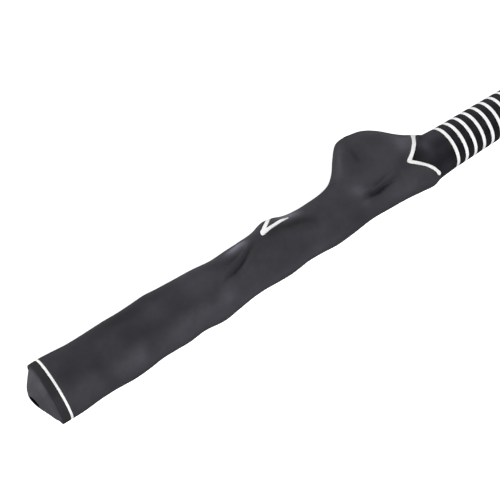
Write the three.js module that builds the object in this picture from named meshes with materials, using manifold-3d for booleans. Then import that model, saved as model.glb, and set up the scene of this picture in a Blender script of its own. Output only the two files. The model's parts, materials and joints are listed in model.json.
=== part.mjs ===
// Weighted swing trainer stick: a short golf practice stick with a moulded
// hand-position grip, a stepped steel shaft and a steel weight on the head end.
// Millimetres, +Z up. The shaft axis is the X axis: the flat face of the head-end
// bumper is at x = 0 and the butt of the grip is at x = LENGTH. The stick is modelled
// lying at rest: the weight, the butt and the finger hook of the grip all touch the
// same level surface, HEAD_R below the axis.
//
// Along the stick every piece is drawn against g, the distance from the butt rim of
// the grip toward the head (x = LENGTH - g), and against the angle psi round the axis.
// psi = 90 deg points to the finger hook of the grip.
import * as THREE from 'three';
import { mergeVertices } from 'three/addons/utils/BufferGeometryUtils.js';
import Module from 'manifold-3d';

// ---------- driving dimensions ----------
const LENGTH = 620;          // butt rim to the flat face of the bumper
const ROLL_DEG = 20.6;       // the finger hook points this far below level, to the -Y side
const SEG = 26;              // facets round the axis
const GRIP_LENGTH = 267;     // butt rim to the mouth of the grip
const BUTT_R = 14.2;         // radius of the grip at the butt rim
const MOUTH_R = 9.1;         // radius of the grip at its mouth
const SHAFT_BUTT_R = 7.62;   // 0.600 in steel shaft
const SHAFT_WALL = 0.75;
const TAPE_T = 0.2;          // grip tape on the shaft
const RING_FIRST = 209.7;    // centre of the first taper ring
const RING_PITCH = 5.1;
const RING_COUNT = 11;
const RING_WIDTH = 1.7;
const BUTT_RING_G = 4.3;     // centre of the ring line near the butt
const BUTT_RING_WIDTH = 1.1;
const LINE_DEPTH = 0.5;      // how deep the two V lines are let in
const GAP = 0.3;             // gap round a line that lies in a cut groove
const FIT = 0.05;            // gap between coaxial pieces that touch
const HEAD_R = 14.2;         // steel weight
const HEAD_START = 532;      // where the neck of the weight begins
const HEAD_END = 612;
const BUMPER_FACE_R = 12.0;
const SHAFT_END = 574.5;

// ---------- shape of the grip ----------
// radius of the hand sections: rows are stations [g, radius at psi = 0, 30 ... 330]
const STATIONS = [
  [0, 14.18, 14.18, 14.18, 14.18, 14.18, 14.18, 14.18, 14.18, 14.18, 14.18, 14.18, 14.18],
  [5, 14.23, 14.23, 14.23, 14.23, 14.23, 14.23, 14.23, 14.23, 14.23, 14.23, 14.23, 14.23],
  [11, 13.98, 13.93, 13.88, 13.83, 13.78, 13.78, 13.78, 13.78, 14.03, 14.2, 14.25, 14.13],
  [18, 13.58, 13.58, 13.48, 13.28, 13.28, 13.28, 13.28, 13.28, 13.48, 13.68, 13.78, 13.68],
  [25, 13.28, 13.53, 13.48, 13.28, 13.28, 13.18, 13.18, 13.28, 13.48, 13.58, 13.48, 13.28],
  [36, 13.38, 13.73, 13.68, 13.53, 13.58, 13.48, 13.38, 13.58, 13.98, 14.08, 13.98, 13.88],
  [43, 13.18, 13.58, 13.58, 13.43, 13.48, 13.38, 13.28, 13.38, 13.58, 13.68, 13.68, 13.58],
  [50, 12.98, 13.38, 13.58, 13.68, 13.48, 13.28, 13.18, 12.98, 12.88, 12.98, 12.98, 12.98],
  [56, 12.88, 13.28, 13.63, 13.98, 13.58, 13.18, 13.08, 13.08, 13.08, 13.03, 13.08, 13.08],
  [63, 12.68, 12.98, 13.18, 13.48, 13.38, 12.98, 12.88, 12.98, 13.18, 13.18, 13.18, 13.08],
  [71, 12.38, 12.68, 12.85, 13.08, 12.98, 12.68, 12.58, 12.48, 12.48, 12.53, 12.48, 12.48],
  [81, 12.38, 12.28, 12.42, 12.56, 12.68, 12.68, 12.58, 12.88, 13.18, 13.43, 13.28, 13.08],
  [89, 12.18, 11.38, 11.48, 11.73, 12.38, 12.68, 12.48, 12.58, 12.48, 12.48, 12.68, 12.68],
  [97, 12.28, 11.58, 11.18, 12.03, 12.48, 12.88, 12.48, 12.18, 11.88, 11.48, 11.98, 12.28],
  [104, 12.18, 12.68, 12.38, 12.26, 12.78, 12.98, 12.48, 11.98, 11.58, 11.28, 11.58, 11.88],
  [111, 11.88, 12.68, 13.18, 12.68, 12.98, 12.98, 12.38, 11.98, 11.68, 11.63, 11.48, 11.58],
  [118, 11.58, 12.18, 13.65, 14.3, 13.7, 12.78, 12.18, 11.78, 11.68, 11.68, 11.28, 11.38],
  [122, 11.48, 11.78, 13.18, 13.75, 13.23, 12.63, 12.08, 11.58, 11.33, 11.28, 11.13, 11.23],
  [126, 11.38, 11.58, 12.35, 12.25, 12.35, 12.38, 11.88, 11.38, 10.98, 10.83, 10.98, 11.08],
  [134, 11.18, 11.28, 11.48, 11.18, 11.78, 11.98, 11.68, 11.28, 11.08, 10.98, 10.98, 11.08],
  [142, 11.08, 11.18, 11.18, 11.28, 11.68, 11.78, 11.58, 11.48, 11.48, 11.53, 11.28, 11.08],
  [150, 10.98, 11.08, 11.18, 11.68, 11.78, 11.68, 11.48, 11.28, 11.18, 11.08, 10.98, 10.98],
  [162, 10.78, 10.78, 11.18, 11.68, 11.68, 11.48, 11.18, 10.58, 10.18, 9.93, 10.28, 10.58],
  [172, 10.88, 10.78, 11.18, 11.68, 11.68, 11.48, 11.08, 10.58, 10.28, 10.18, 10.58, 10.98],
  [182, 11.48, 11.38, 11.58, 11.98, 11.68, 11.58, 11.18, 10.88, 10.68, 10.63, 11.18, 11.68],
  [190, 12.08, 12.08, 12.08, 12.18, 11.98, 11.78, 11.58, 11.38, 11.38, 11.48, 11.78, 12.18],
  [196, 12.58, 12.58, 12.48, 12.58, 12.28, 12.08, 11.98, 11.88, 11.88, 12.03, 12.28, 12.48],
  [201, 12.38, 12.48, 12.48, 12.58, 12.28, 12.08, 11.78, 11.68, 11.58, 11.48, 11.88, 12.18],
  [214, 12.38, 12.48, 12.48, 12.58, 12.28, 12.08, 11.78, 11.68, 11.58, 11.48, 11.88, 12.18],
];
// finger hook: height above the axis and half thickness against g
const HOOK = [
  [140, 8.1, 8.1], [146, 10.6, 9.6], [150, 12.0, 10.45], [154, 13.6, 10.65], [158, 17.0, 10.75],
  [162, 22.4, 10.75], [166, 26.8, 10.75], [170, 27.65, 10.85], [174, 27.15, 10.95], [178, 26.35, 11.05],
  [182, 24.5, 11.15], [186, 21.7, 11.35], [190, 18.2, 11.55], [194, 15.25, 11.75], [198, 13.2, 11.9],
  [202, 12.2, 11.9], [208, 11.5, 11.6],
];
const HOOK_POWER = 3.0;
const HOOK_TAPER = 0.22;
// front edge of the hand section, where it steps down to the round taper:
// [psi, start of the step, white line, end of the step]
const EDGE = [
  [-90, 194.5, 199.0, 203.0], [-70, 194.0, 198.8, 202.0], [-54, 193.4, 198.5, 200.2], [-42, 192.8, 197.4, 198.9],
  [-30, 192.0, 196.2, 197.7], [-12, 189.5, 193.5, 195.0], [6, 186.3, 189.8, 191.4], [21, 184.3, 187.6, 189.2],
  [36, 189.6, 191.9, 193.4], [48, 192.8, 194.4, 196.0], [66, 195.8, 197.2, 199.0], [78, 197.6, 199.1, 201.2],
  [90, 199.2, 200.8, 204.2], [120, 199.2, 201.2, 203.4], [150, 198.0, 200.6, 202.6], [180, 196.5, 199.6, 202.0],
  [210, 195.6, 199.2, 202.2], [240, 194.8, 199.0, 202.8], [270, 194.5, 199.0, 203.0],
];
// round taper in front of the hand section: [g, radius]
const TAPER = [[185, 10.8], [202, 10.6], [207, 10.3], [RING_FIRST, 10.15], [GRIP_LENGTH, MOUTH_R]];

const clamp = (x, a, b) => Math.min(b, Math.max(a, x));
function linear(rows, x) {
  if (x <= rows[0][0]) return rows[0][1];
  for (let i = 1; i < rows.length; i++) {
    if (x <= rows[i][0]) {
      const t = (x - rows[i - 1][0]) / (rows[i][0] - rows[i - 1][0]);
      return rows[i - 1][1] + t * (rows[i][1] - rows[i - 1][1]);
    }
  }
  return rows[rows.length - 1][1];
}
// smooth curve through a column of a table, against its first column
function smooth(rows, col, x) {
  const n = rows.length;
  const X = (k) => rows[k][0], Y = (k) => rows[k][col];
  x = clamp(x, X(0), X(n - 1));
  let i = 0;
  while (i < n - 2 && x >= X(i + 1)) i++;
  const slope = (k) => (Y(k + 1) - Y(k)) / (X(k + 1) - X(k));
  const tangent = (k) => {
    if (k === 0 || k === n - 1) return 0;
    const h0 = X(k) - X(k - 1), h1 = X(k + 1) - X(k);
    return (slope(k - 1) * h1 + slope(k) * h0) / (h0 + h1);
  };
  const h = X(i + 1) - X(i), t = (x - X(i)) / h, t2 = t * t, t3 = t2 * t;
  return (2 * t3 - 3 * t2 + 1) * Y(i) + (t3 - 2 * t2 + t) * h * tangent(i)
    + (-2 * t3 + 3 * t2) * Y(i + 1) + (t3 - t2) * h * tangent(i + 1);
}
function sectionRadius(g, psi) {
  const p = ((((psi * 180) / Math.PI) % 360) + 360) % 360 / 30;
  const k = Math.floor(p), t = p - k;
  const at = (m) => smooth(STATIONS, 1 + ((k + m + 12) % 12), g);
  const a = at(-1), b = at(0), c = at(1), d = at(2);
  return 0.5 * (2 * b + (-a + c) * t + (2 * a - 5 * b + 4 * c - d) * t * t + (-a + 3 * b - 3 * c + d) * t * t * t);
}
function hookRadius(g, psi) {
  const s = Math.sin(psi), c = Math.abs(Math.cos(psi));
  if (s <= 1e-4) return 0;
  const h = smooth(HOOK, 1, g), w = smooth(HOOK, 2, g) * (1 - HOOK_TAPER * s * s);
  return Math.pow(Math.pow(c / w, HOOK_POWER) + Math.pow(s / h, HOOK_POWER), -1 / HOOK_POWER);
}
const edgeAt = (psi, col) => smooth(EDGE, col, ((((psi * 180) / Math.PI + 90) % 360) + 360) % 360 - 90);
const taperAt = (g) => linear(TAPER, g);
function gripRadius(g, psi) {
  if (g > 206.2) return taperAt(g);
  const b = sectionRadius(g, psi), hk = hookRadius(g, psi), k = 1.2;
  const m = clamp(0.5 + (0.5 * (b - hk)) / k, 0, 1);
  const r = hk * (1 - m) + b * m + k * m * (1 - m);
  const start = edgeAt(psi, 1), end = edgeAt(psi, 3);
  let t = clamp((g - start) / (end - start), 0, 1);
  t = t * t * (3 - 2 * t);
  return r * (1 - t) + taperAt(g) * t;
}

// ---------- helpers ----------
const root = new THREE.Group();
root.name = 'swing_trainer_stick';
// local frame of the stick: +Y toward the head, +Z the psi = 0 side, -X the psi = 90 side
const stick = new THREE.Group();
const roll = THREE.MathUtils.degToRad(ROLL_DEG);
stick.setRotationFromMatrix(new THREE.Matrix4().makeBasis(
  new THREE.Vector3(0, Math.cos(roll), Math.sin(roll)),
  new THREE.Vector3(-1, 0, 0),
  new THREE.Vector3(0, -Math.sin(roll), Math.cos(roll)),
));
stick.position.set(LENGTH, 0, 0);
root.add(stick);
const grip = new THREE.Group();
const shaftGroup = new THREE.Group();
const head = new THREE.Group();
stick.add(grip, shaftGroup, head);

function weld(geometry, tolerance = 1e-4) {
  geometry.deleteAttribute('normal');
  geometry.deleteAttribute('uv');
  return mergeVertices(geometry, tolerance);
}
// turned piece from a closed profile of [radius, g] points
function turned(profile, segments = SEG) {
  const pts = profile.map(([r, g]) => new THREE.Vector2(r, g));
  pts.push(pts[0].clone());
  return weld(new THREE.LatheGeometry(pts, segments));
}
const wasm = await Module();
wasm.setup();
function solid(geometry) {
  const index = geometry.index;
  return new wasm.Manifold(new wasm.Mesh({
    numProp: 3,
    vertProperties: new Float32Array(geometry.attributes.position.array),
    triVerts: new Uint32Array(index.array),
  }));
}
function fromSolid(body) {
  const mesh = body.getMesh();
  const geometry = new THREE.BufferGeometry();
  const pos = new Float32Array(mesh.numVert * 3);
  for (let i = 0; i < mesh.numVert; i++) {
    for (let k = 0; k < 3; k++) pos[3 * i + k] = mesh.vertProperties[i * mesh.numProp + k];
  }
  geometry.setAttribute('position', new THREE.BufferAttribute(pos, 3));
  geometry.setIndex(new THREE.BufferAttribute(new Uint32Array(mesh.triVerts), 1));
  return geometry;
}
function finish(geometry, name, colour, roughness, metalness, parent) {
  let g = geometry;
  // faces point out: flip the whole body if its signed volume is negative
  const p = g.attributes.position, ix = g.index;
  let volume = 0;
  const a = new THREE.Vector3(), b = new THREE.Vector3(), c = new THREE.Vector3();
  for (let i = 0; i < ix.count; i += 3) {
    a.fromBufferAttribute(p, ix.getX(i));
    b.fromBufferAttribute(p, ix.getX(i + 1));
    c.fromBufferAttribute(p, ix.getX(i + 2));
    volume += a.dot(b.clone().cross(c));
  }
  if (volume < 0) {
    for (let i = 0; i < ix.count; i += 3) {
      const t = ix.getX(i);
      ix.setX(i, ix.getX(i + 1));
      ix.setX(i + 1, t);
    }
  }
  g.computeVertexNormals();
  const mesh = new THREE.Mesh(g, new THREE.MeshStandardMaterial({ color: colour, roughness, metalness }));
  mesh.name = name;
  parent.add(mesh);
  return mesh;
}

// ---------- grip body ----------
// Rows of the outer skin. In the hand section a row follows the slanted front edge, so
// that the step down to the round taper stays crisp all the way round.
const tapeR = SHAFT_BUTT_R + 0.03 + TAPE_T;
const BORE_R = tapeR + FIT;
const CAP_R = 12.9;          // moulded cap face let into the butt
const CAP_SEAT = 3.0;
const STEP_START = 194;      // where the step begins, on average
const outerRows = [];        // [g, radial offset from the skin]
outerRows.push([0, -0.45], [0.5, 0]);
const buttA = BUTT_RING_G - BUTT_RING_WIDTH / 2, buttB = BUTT_RING_G + BUTT_RING_WIDTH / 2;
outerRows.push([buttA, 0], [buttA, -0.4], [buttB, -0.4], [buttB, 0]);
for (let g = 9; g <= 147; g += 6) outerRows.push([g, 0]);
for (let g = 151; g <= 191; g += 4) outerRows.push([g, 0]);
const STEP_ROW = outerRows.length;     // start, middle and end of the step, then one row half way to the taper
outerRows.push([STEP_START, 0], [196, 0], [198, 0], [202, 0], [206.2, 0]);
const ringSpans = [];
for (let i = 0; i < RING_COUNT; i++) {
  const c = RING_FIRST + i * RING_PITCH, a = c - RING_WIDTH / 2, b = c + RING_WIDTH / 2;
  outerRows.push([a, 0], [a, -0.4], [b, -0.4], [b, 0]);
  ringSpans.push([a, b]);
}
outerRows.push([GRIP_LENGTH - 0.5, 0], [GRIP_LENGTH, -0.4]);

const profile = outerRows.map(([g]) => [20, g]);
profile.push([BORE_R, GRIP_LENGTH], [BORE_R, CAP_SEAT + FIT], [CAP_R + FIT, CAP_SEAT + FIT], [CAP_R + FIT, 0]);
// the lathe keeps one vertex per row and facet: index = facet * rows + row
const gripPoints = profile.map(([r, g]) => new THREE.Vector2(r, g));
gripPoints.push(gripPoints[0].clone());
let gripGeometry = new THREE.LatheGeometry(gripPoints, SEG);
{
  const pos = gripGeometry.attributes.position, rows = gripPoints.length;
  for (let s = 0; s <= SEG; s++) {
    const phi = (s % SEG) * ((2 * Math.PI) / SEG);
    for (let k = 0; k < rows; k++) {
      const row = k === rows - 1 ? 0 : k;
      const i = s * rows + k;
      if (row >= outerRows.length) {
        const [r, g] = profile[row];
        pos.setXYZ(i, r * Math.sin(phi), g, r * Math.cos(phi));
        continue;
      }
      let [g, offset] = outerRows[row];
      let psi = -phi;
      // facets crowd toward the hook where it stands out
      const near = g > 130 && g < 206 ? Math.sin(Math.PI * clamp((g - 130) / 76, 0, 1)) : 0;
      const d = psi - Math.PI / 2;
      psi = psi - 0.35 * near * Math.sin(d);
      // rows follow the front edge
      const start = edgeAt(psi, 1), end = edgeAt(psi, 3);
      let gg = g;
      if (row < STEP_ROW && g > 150) gg = 150 + ((g - 150) * (start - 150)) / (STEP_START - 150);
      else if (row === STEP_ROW) gg = start;
      else if (row === STEP_ROW + 1) gg = (start + end) / 2;
      else if (row === STEP_ROW + 2) gg = end;
      else if (row === STEP_ROW + 3) gg = (end + 206.2) / 2;
      const r = gripRadius(gg, psi) + offset;
      pos.setXYZ(i, -r * Math.sin(psi), gg, r * Math.cos(psi));
    }
  }
  gripGeometry = weld(gripGeometry);
}

// a painted mark let into the skin: a long box bent between two edges. Each edge is a list
// of [g, psi in degrees] and has a corner; the two halves of both edges are matched up.
const SKIN_R = 12;
function along(points, count) {
  const s = [0];
  for (let i = 1; i < points.length; i++) {
    s.push(s[i - 1] + Math.hypot(points[i][0] - points[i - 1][0], points[i][1] - points[i - 1][1]));
  }
  const total = s[s.length - 1];
  return Array.from({ length: count }, (_, k) => {
    const u = (total * k) / (count - 1);
    let i = 0;
    while (i < s.length - 2 && u > s[i + 1]) i++;
    const t = (u - s[i]) / (s[i + 1] - s[i]);
    return [points[i][0] + t * (points[i + 1][0] - points[i][0]), points[i][1] + t * (points[i + 1][1] - points[i][1])];
  });
}
function markEdges(mark, step) {
  const flat = ['outer', 'inner'].map((side) => mark[side].map(([g, deg]) => [g, SKIN_R * THREE.MathUtils.degToRad(deg)]));
  const out = [[], []];
  for (const half of [0, 1]) {
    const parts = flat.map((edge, k) => (half === 0 ? edge.slice(0, mark.corner[k] + 1) : edge.slice(mark.corner[k])));
    const length = Math.max(...parts.map((q) => q.slice(1).reduce((sum, b, i) => sum + Math.hypot(b[0] - q[i][0], b[1] - q[i][1]), 0)));
    const count = Math.max(3, Math.round(length / step) + 1);
    parts.forEach((q, k) => out[k].push(...along(q, count).slice(half)));
  }
  return out;
}
function inlay(mark, top, bottom, grow, step) {
  const [outer, inner] = markEdges(mark, step);
  const n = outer.length - 1;
  const box = weld(new THREE.BoxGeometry(1, 1, 1, n, 1, 1));
  const pos = box.attributes.position;
  for (let i = 0; i < pos.count; i++) {
    const k = Math.round((pos.getX(i) + 0.5) * n);
    const side = pos.getY(i) > 0 ? 1 : -1;
    const a = outer[k], b = inner[k];
    const w = Math.hypot(a[0] - b[0], a[1] - b[1]);
    const across = [(a[0] - b[0]) / w, (a[1] - b[1]) / w];
    let [x, y] = side > 0 ? a : b;
    x += across[0] * grow * side;
    y += across[1] * grow * side;
    if (k === 0 || k === n) {          // ends grow along the mark
      const c = k === 0 ? 1 : n - 1;
      const dx = outer[k][0] + inner[k][0] - outer[c][0] - inner[c][0], dy = outer[k][1] + inner[k][1] - outer[c][1] - inner[c][1];
      const l = Math.hypot(dx, dy);
      x += (dx / l) * grow;
      y += (dy / l) * grow;
    }
    const psi = y / SKIN_R;
    const r = gripRadius(x, psi) + (pos.getZ(i) > 0 ? top : -bottom);
    pos.setXYZ(i, -r * Math.sin(psi), x, r * Math.cos(psi));
  }
  return box;
}
// outward faces for a bent box before it goes to a boolean
function outward(geometry) {
  const p = geometry.attributes.position, ix = geometry.index;
  let volume = 0;
  const a = new THREE.Vector3(), b = new THREE.Vector3(), c = new THREE.Vector3();
  for (let i = 0; i < ix.count; i += 3) {
    a.fromBufferAttribute(p, ix.getX(i)); b.fromBufferAttribute(p, ix.getX(i + 1)); c.fromBufferAttribute(p, ix.getX(i + 2));
    volume += a.dot(b.clone().cross(c));
  }
  if (volume < 0) {
    for (let i = 0; i < ix.count; i += 3) {
      const t = ix.getX(i);
      ix.setX(i, ix.getX(i + 1)); ix.setX(i + 1, t);
    }
  }
  return geometry;
}
// the corner of each mark is the tip of its V
const UPPER_V = {
  outer: [[120.6, 94], [119.4, 84], [118.2, 77.3], [117, 71.8], [115.5, 66.4], [114, 61.3], [112.6, 56.3], [112, 50], [112.3,
    46], [114, 47], [116.25, 49.8], [118.5, 51.5], [121.5, 53.2], [124, 54.3], [126.2, 54.5]],
  inner: [[122.6, 94], [121.2, 84], [120, 74.7], [118.5, 66.8], [117, 61.3], [115.8, 57.2], [117, 56.8], [119.25, 57.7],
  [120.75, 58.4], [122.25, 59.2], [124, 58.9], [126.2, 56.9]],
  corner: [7, 5],
};
const LOWER_V = {
  outer: [[200.2, 96], [199.4, 90], [198.6, 84], [197, 72], [195.5, 60], [193.7, 48], [190.9, 36], [189.1, 30], [187, 24],
  [186, 19.2], [186.8, 12], [189.6, 0], [192.4, -12], [194.4, -24], [196, -36], [196.9, -48], [197.9, -55]],
  inner: [[201.8, 96], [201, 90], [200.2, 84], [198.6, 72], [197.1, 60], [195.35, 48], [193, 36], [191.6, 30], [190.1, 24],
  [188.7, 18.2], [189.8, 12], [192.1, 0], [194.4, -12], [196.3, -24], [197.6, -36], [198.8, -48], [198.9, -54.5]],
  corner: [9, 9],
};
let body = solid(outward(gripGeometry));
body = body.subtract(solid(outward(inlay(UPPER_V, 3, LINE_DEPTH + GAP, GAP, 2.6))));
body = body.subtract(solid(outward(inlay(LOWER_V, 3, LINE_DEPTH + GAP, GAP, 2.6))));
finish(fromSolid(body), 'grip_body', 0x3f3e43, 0.8, 0, grip);
finish(inlay(UPPER_V, 0.05, LINE_DEPTH, 0, 2.6), 'upper_v_line', 0xf4f4f2, 0.6, 0, grip);
finish(inlay(LOWER_V, 0.05, LINE_DEPTH, 0, 2.6), 'lower_v_line', 0xf4f4f2, 0.6, 0, grip);

// ---------- ring lines ----------
function ringLine(name, a, b, ra, rb) {
  const e = FIT;
  finish(turned([[ra, a + e], [rb, b - e], [rb - 0.34, b - e], [ra - 0.34, a + e]]), name, 0xf4f4f2, 0.6, 0, grip);
}
ringLine('butt_ring_line', buttA, buttB, BUTT_R + 0.02, BUTT_R + 0.02);
ringSpans.forEach(([a, b], i) => {
  ringLine(`taper_ring_${String(i + 1).padStart(2, '0')}`, a, b, taperAt(a), taperAt(b));
});

// ---------- end cap ----------
// bell-shaped face, taller toward one side, with a vent hole through its slanted crown
const VENT_R = 3.0;
const CAP_TALL = [[2.8, 5.82], [3.1, 5.9], [4, 5.76], [5, 5.42], [6.5, 4.85], [7.7, 4.1], [8.6, 3.38], [10, 2.3], [11.3, 1.25], [12.2, 0.5], [CAP_R, 0]];
const CAP_LOW = [[2.8, 4.42], [3.1, 4.48], [4, 4.15], [5.5, 3.5], [7.3, 2.65], [9.5, 1.8], [11.2, 1.12], [12.2, 0.5], [CAP_R, 0]];
const CAP_TALL_PSI = THREE.MathUtils.degToRad(117);
{
  const prof = [VENT_R, 3.4, 4, 5, 6.5, 8, 9.4, 10.8, 12.2, CAP_R].map((r) => [r, r < CAP_R ? -1 : 0]);
  prof.push([CAP_R, CAP_SEAT], [VENT_R, CAP_SEAT]);
  const geometry = turned(prof);
  const pos = geometry.attributes.position;
  for (let i = 0; i < pos.count; i++) {
    if (pos.getY(i) > -0.5) continue;
    const r = Math.hypot(pos.getX(i), pos.getZ(i));
    const psi = Math.atan2(-pos.getX(i), pos.getZ(i));
    const side = 0.5 + 0.5 * Math.cos(psi - CAP_TALL_PSI);
    pos.setY(i, -(smooth(CAP_LOW, 1, r) * (1 - side) + smooth(CAP_TALL, 1, r) * side));
  }
  finish(geometry, 'grip_end_cap', 0x55545a, 0.75, 0, grip);
}

// ---------- grip tape and shaft ----------
finish(turned([[SHAFT_BUTT_R + 0.03, 4.2], [tapeR, 4.2], [tapeR, 263], [SHAFT_BUTT_R + 0.03, 263]]),
  'grip_tape', 0xd9cfae, 0.7, 0, shaftGroup);
const STEPS = [[300, 7.62], [344, 7.35], [388, 7.1], [432, 6.8], [476, 6.5], [514, 6.25], [SHAFT_END, 6.0]];
{
  const outer = [[SHAFT_BUTT_R, CAP_SEAT + 0.2]];
  for (let i = 0; i < STEPS.length - 1; i++) {
    outer.push([STEPS[i][1], STEPS[i][0]], [STEPS[i + 1][1], STEPS[i][0] + 1.2]);
  }
  outer.push([6.0, SHAFT_END]);
  const inner = [[5.25, SHAFT_END], [5.25, 520], [6.05, 432], [6.87, 300], [6.87, CAP_SEAT + 0.2]];
  finish(turned([...outer, ...inner]), 'shaft', 0xc9ccd0, 0.18, 1, shaftGroup);
}

// ---------- head ----------
const TIP_BORE = 6.0 + FIT;
finish(turned([
  [TIP_BORE, HEAD_START], [8.4, HEAD_START], [9.0, HEAD_START + 0.8], [9.6, 538], [HEAD_R - 1.0, 546], [HEAD_R, 547.4],
  [HEAD_R, HEAD_END - 1.2], [HEAD_R - 1.2, HEAD_END], [5.5, HEAD_END], [5.5, 600], [2.75, 600], [2.75, 575], [TIP_BORE, 575],
]), 'head_weight', 0xa9acb0, 0.3, 1, head);
finish(turned([
  [6.25 + FIT, 518], [6.9, 518], [7.2, 519], [7.5, 524.5], [7.35, 525], [7.35, 525.8], [7.6, 526.2], [8.35, HEAD_START - FIT],
  [6.25 + FIT, HEAD_START - FIT],
]), 'ferrule', 0x17171a, 0.3, 0, head);
finish(turned([[2.55, 554], [5.2, 554], [5.2, 574], [2.55, 574]]), 'tip_insert', 0x9da1a6, 0.4, 1, head);
finish(turned([[2.8, 600.05], [5.3, 600.05], [5.3, 601.0], [2.8, 601.0]]), 'head_washer', 0xb4b7bb, 0.35, 1, head);
{
  const ring = solid(outward(turned([[2.8, 601.1], [4.4, 601.1], [4.4, 602.3], [2.8, 602.3]])));
  const slot = weld(new THREE.BoxGeometry(0.9, 4, 4));
  slot.translate(0, 601.7, 3.6);
  finish(fromSolid(ring.subtract(solid(outward(slot)))), 'lock_washer', 0x8f9296, 0.4, 1, head);
}
{
  const screw = solid(outward(turned([[0, 558], [2.0, 558], [2.45, 558.6], [2.45, 602.36], [4.25, 602.36], [4.25, 607.0], [3.9, 607.4], [0, 607.4]])));
  const socket = weld(new THREE.CylinderGeometry(2.3, 2.3, 6, 6));
  socket.translate(0, 604.6 + 3, 0);
  finish(fromSolid(screw.subtract(solid(outward(socket)))), 'head_screw', 0x2b2c2f, 0.45, 1, head);
}
finish(turned([
  [0, 608.2], [5.1, 608.2], [5.4, 608.6], [5.4, HEAD_END + FIT], [HEAD_R - 1.25, HEAD_END + FIT], [HEAD_R - 0.9, HEAD_END + 0.4],
  [HEAD_R - 0.9, 617.2], [BUMPER_FACE_R + 0.3, 619.6], [BUMPER_FACE_R, LENGTH], [0, LENGTH],
]), 'end_bumper', 0x1d1d1f, 0.85, 0, head);

export default root;
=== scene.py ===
import json
import math
import bpy
import numpy as np
from mathutils import Matrix, Vector

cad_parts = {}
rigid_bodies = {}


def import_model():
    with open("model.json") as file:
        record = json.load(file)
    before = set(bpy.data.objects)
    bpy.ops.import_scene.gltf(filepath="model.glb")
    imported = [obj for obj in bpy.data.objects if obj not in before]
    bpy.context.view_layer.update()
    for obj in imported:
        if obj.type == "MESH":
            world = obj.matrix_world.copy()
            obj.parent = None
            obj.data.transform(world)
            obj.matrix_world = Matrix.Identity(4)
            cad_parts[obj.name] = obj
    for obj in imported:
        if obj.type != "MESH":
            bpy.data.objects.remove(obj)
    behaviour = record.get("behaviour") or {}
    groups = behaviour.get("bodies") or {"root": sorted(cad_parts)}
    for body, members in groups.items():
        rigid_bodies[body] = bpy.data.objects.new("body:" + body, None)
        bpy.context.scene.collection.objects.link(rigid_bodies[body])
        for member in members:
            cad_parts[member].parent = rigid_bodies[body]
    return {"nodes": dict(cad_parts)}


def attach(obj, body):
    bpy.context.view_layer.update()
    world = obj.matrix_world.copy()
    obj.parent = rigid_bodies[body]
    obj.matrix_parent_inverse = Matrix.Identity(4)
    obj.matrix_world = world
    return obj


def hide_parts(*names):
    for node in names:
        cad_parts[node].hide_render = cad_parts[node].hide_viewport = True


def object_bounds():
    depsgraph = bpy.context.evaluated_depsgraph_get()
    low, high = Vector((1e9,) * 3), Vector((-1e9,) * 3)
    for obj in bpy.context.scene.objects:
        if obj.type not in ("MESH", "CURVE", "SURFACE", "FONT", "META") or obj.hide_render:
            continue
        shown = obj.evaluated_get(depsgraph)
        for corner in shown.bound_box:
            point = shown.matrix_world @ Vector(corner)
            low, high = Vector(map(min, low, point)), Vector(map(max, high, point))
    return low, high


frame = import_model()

CAD_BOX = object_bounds()

# ------------------------------------------------------------------ shape of the grip
# g is the distance in mm from the butt rim toward the head, psi the angle round the axis
# (90 deg points to the finger hook), r the radius in mm.
LENGTH = 620.0
ROLL = math.radians(20.6)
RING_FIRST, RING_PITCH, RING_COUNT, RING_WIDTH = 209.7, 5.1, 11, 1.7
BUTT_RING_G, BUTT_RING_WIDTH = 4.3, 1.1
GRIP_LENGTH, MOUTH_R = 267.0, 9.1
BORE_R = 7.9
CAP_R = 12.9

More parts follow.
